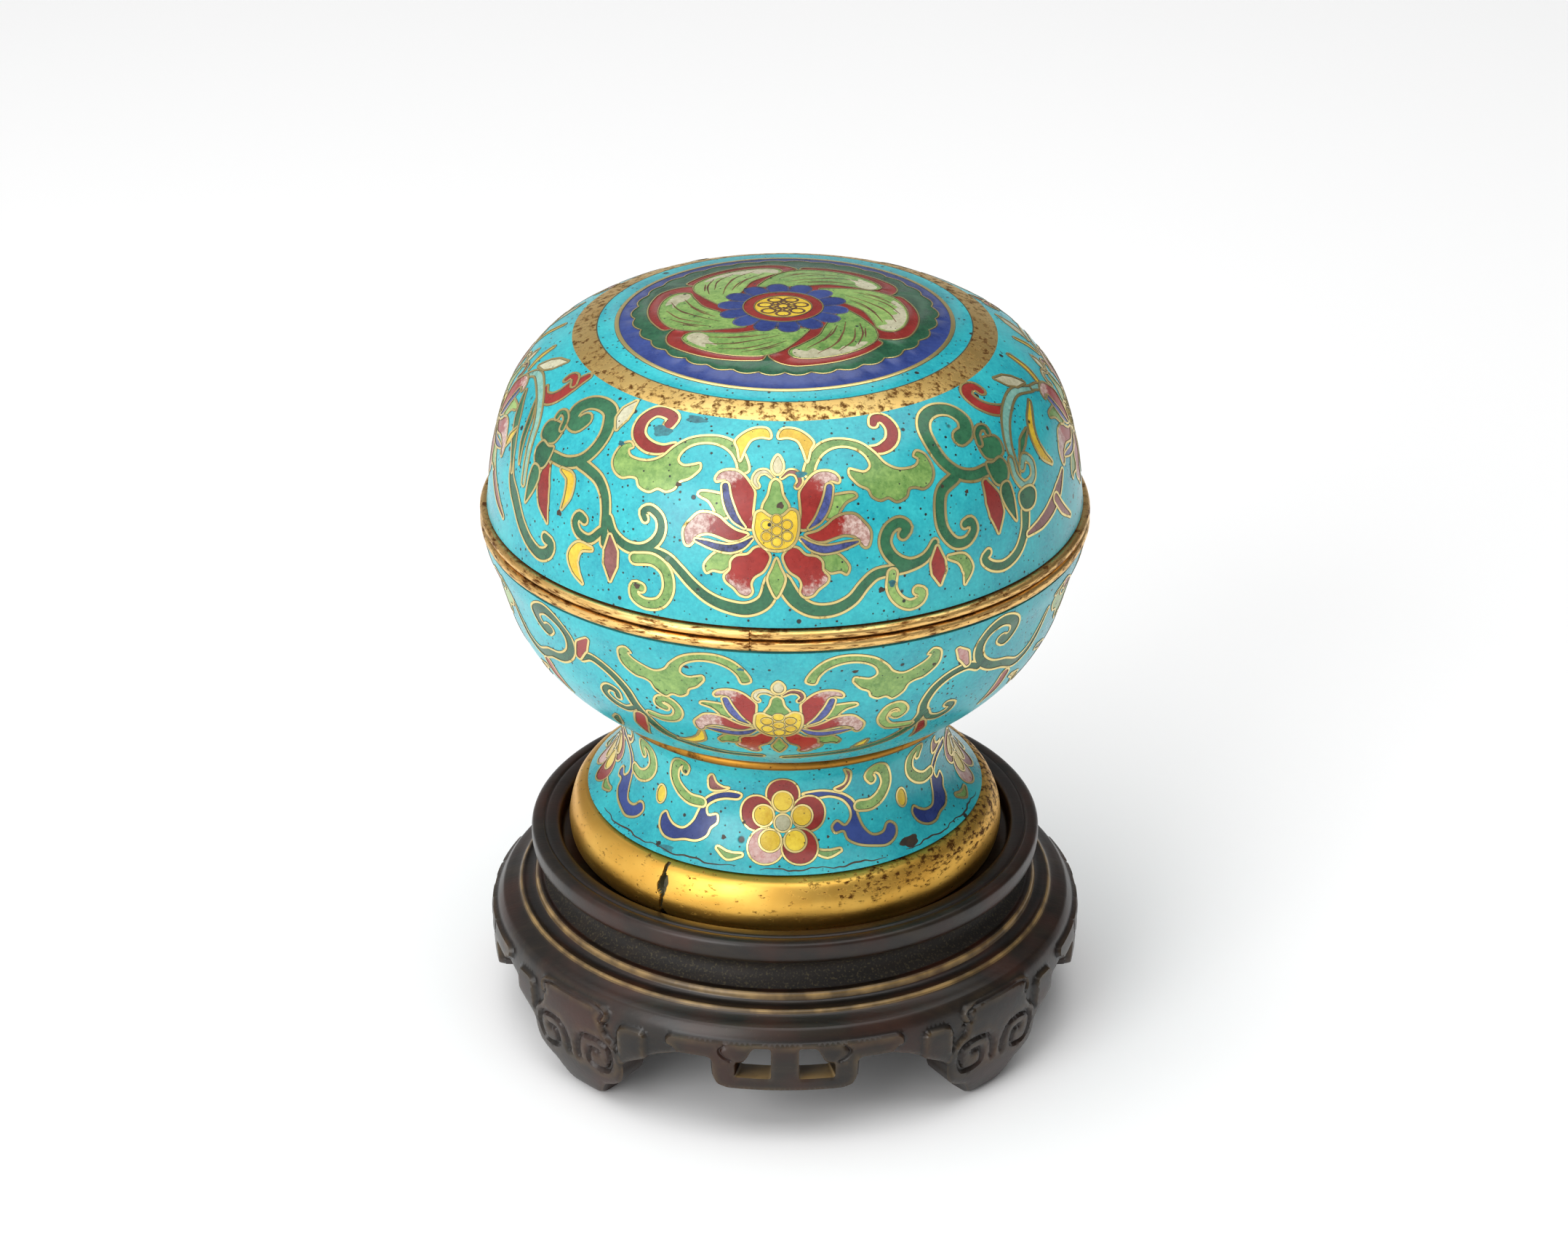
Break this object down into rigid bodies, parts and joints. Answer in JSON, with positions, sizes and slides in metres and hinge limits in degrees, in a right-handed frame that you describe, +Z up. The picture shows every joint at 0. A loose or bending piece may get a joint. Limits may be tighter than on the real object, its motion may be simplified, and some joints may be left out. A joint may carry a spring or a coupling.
{
  "type": "lidded cloisonne box on stand",
  "caption": "Round lidded box of enamelled copper with gilt rims and a flared foot, standing in its own carved, pierced hardwood stand.",
  "frame": {"origin": "centre of the stand's footprint, on the surface that its feet rest on", "axes": "+Z up along the axis of the box and stand, -Y towards the front, the side with the seam in the foot's ring at its left, +X to the right seen from the front"},
  "size_m": [0.1, 0.1, 0.1265],
  "materials": {
    "enamel": "polished turquoise enamel with coloured cells between gilt wires",
    "gilt": "worn fire gilding, soft polish",
    "hardwood": "dark polished hardwood"
  },
  "bodies": {
    "root": {"lid": "enamel", "lid_rim": "gilt", "bowl": "enamel", "bowl_rim": "gilt", "foot_ring": "gilt", "stand": "hardwood"}
  },
  "joints": []
}
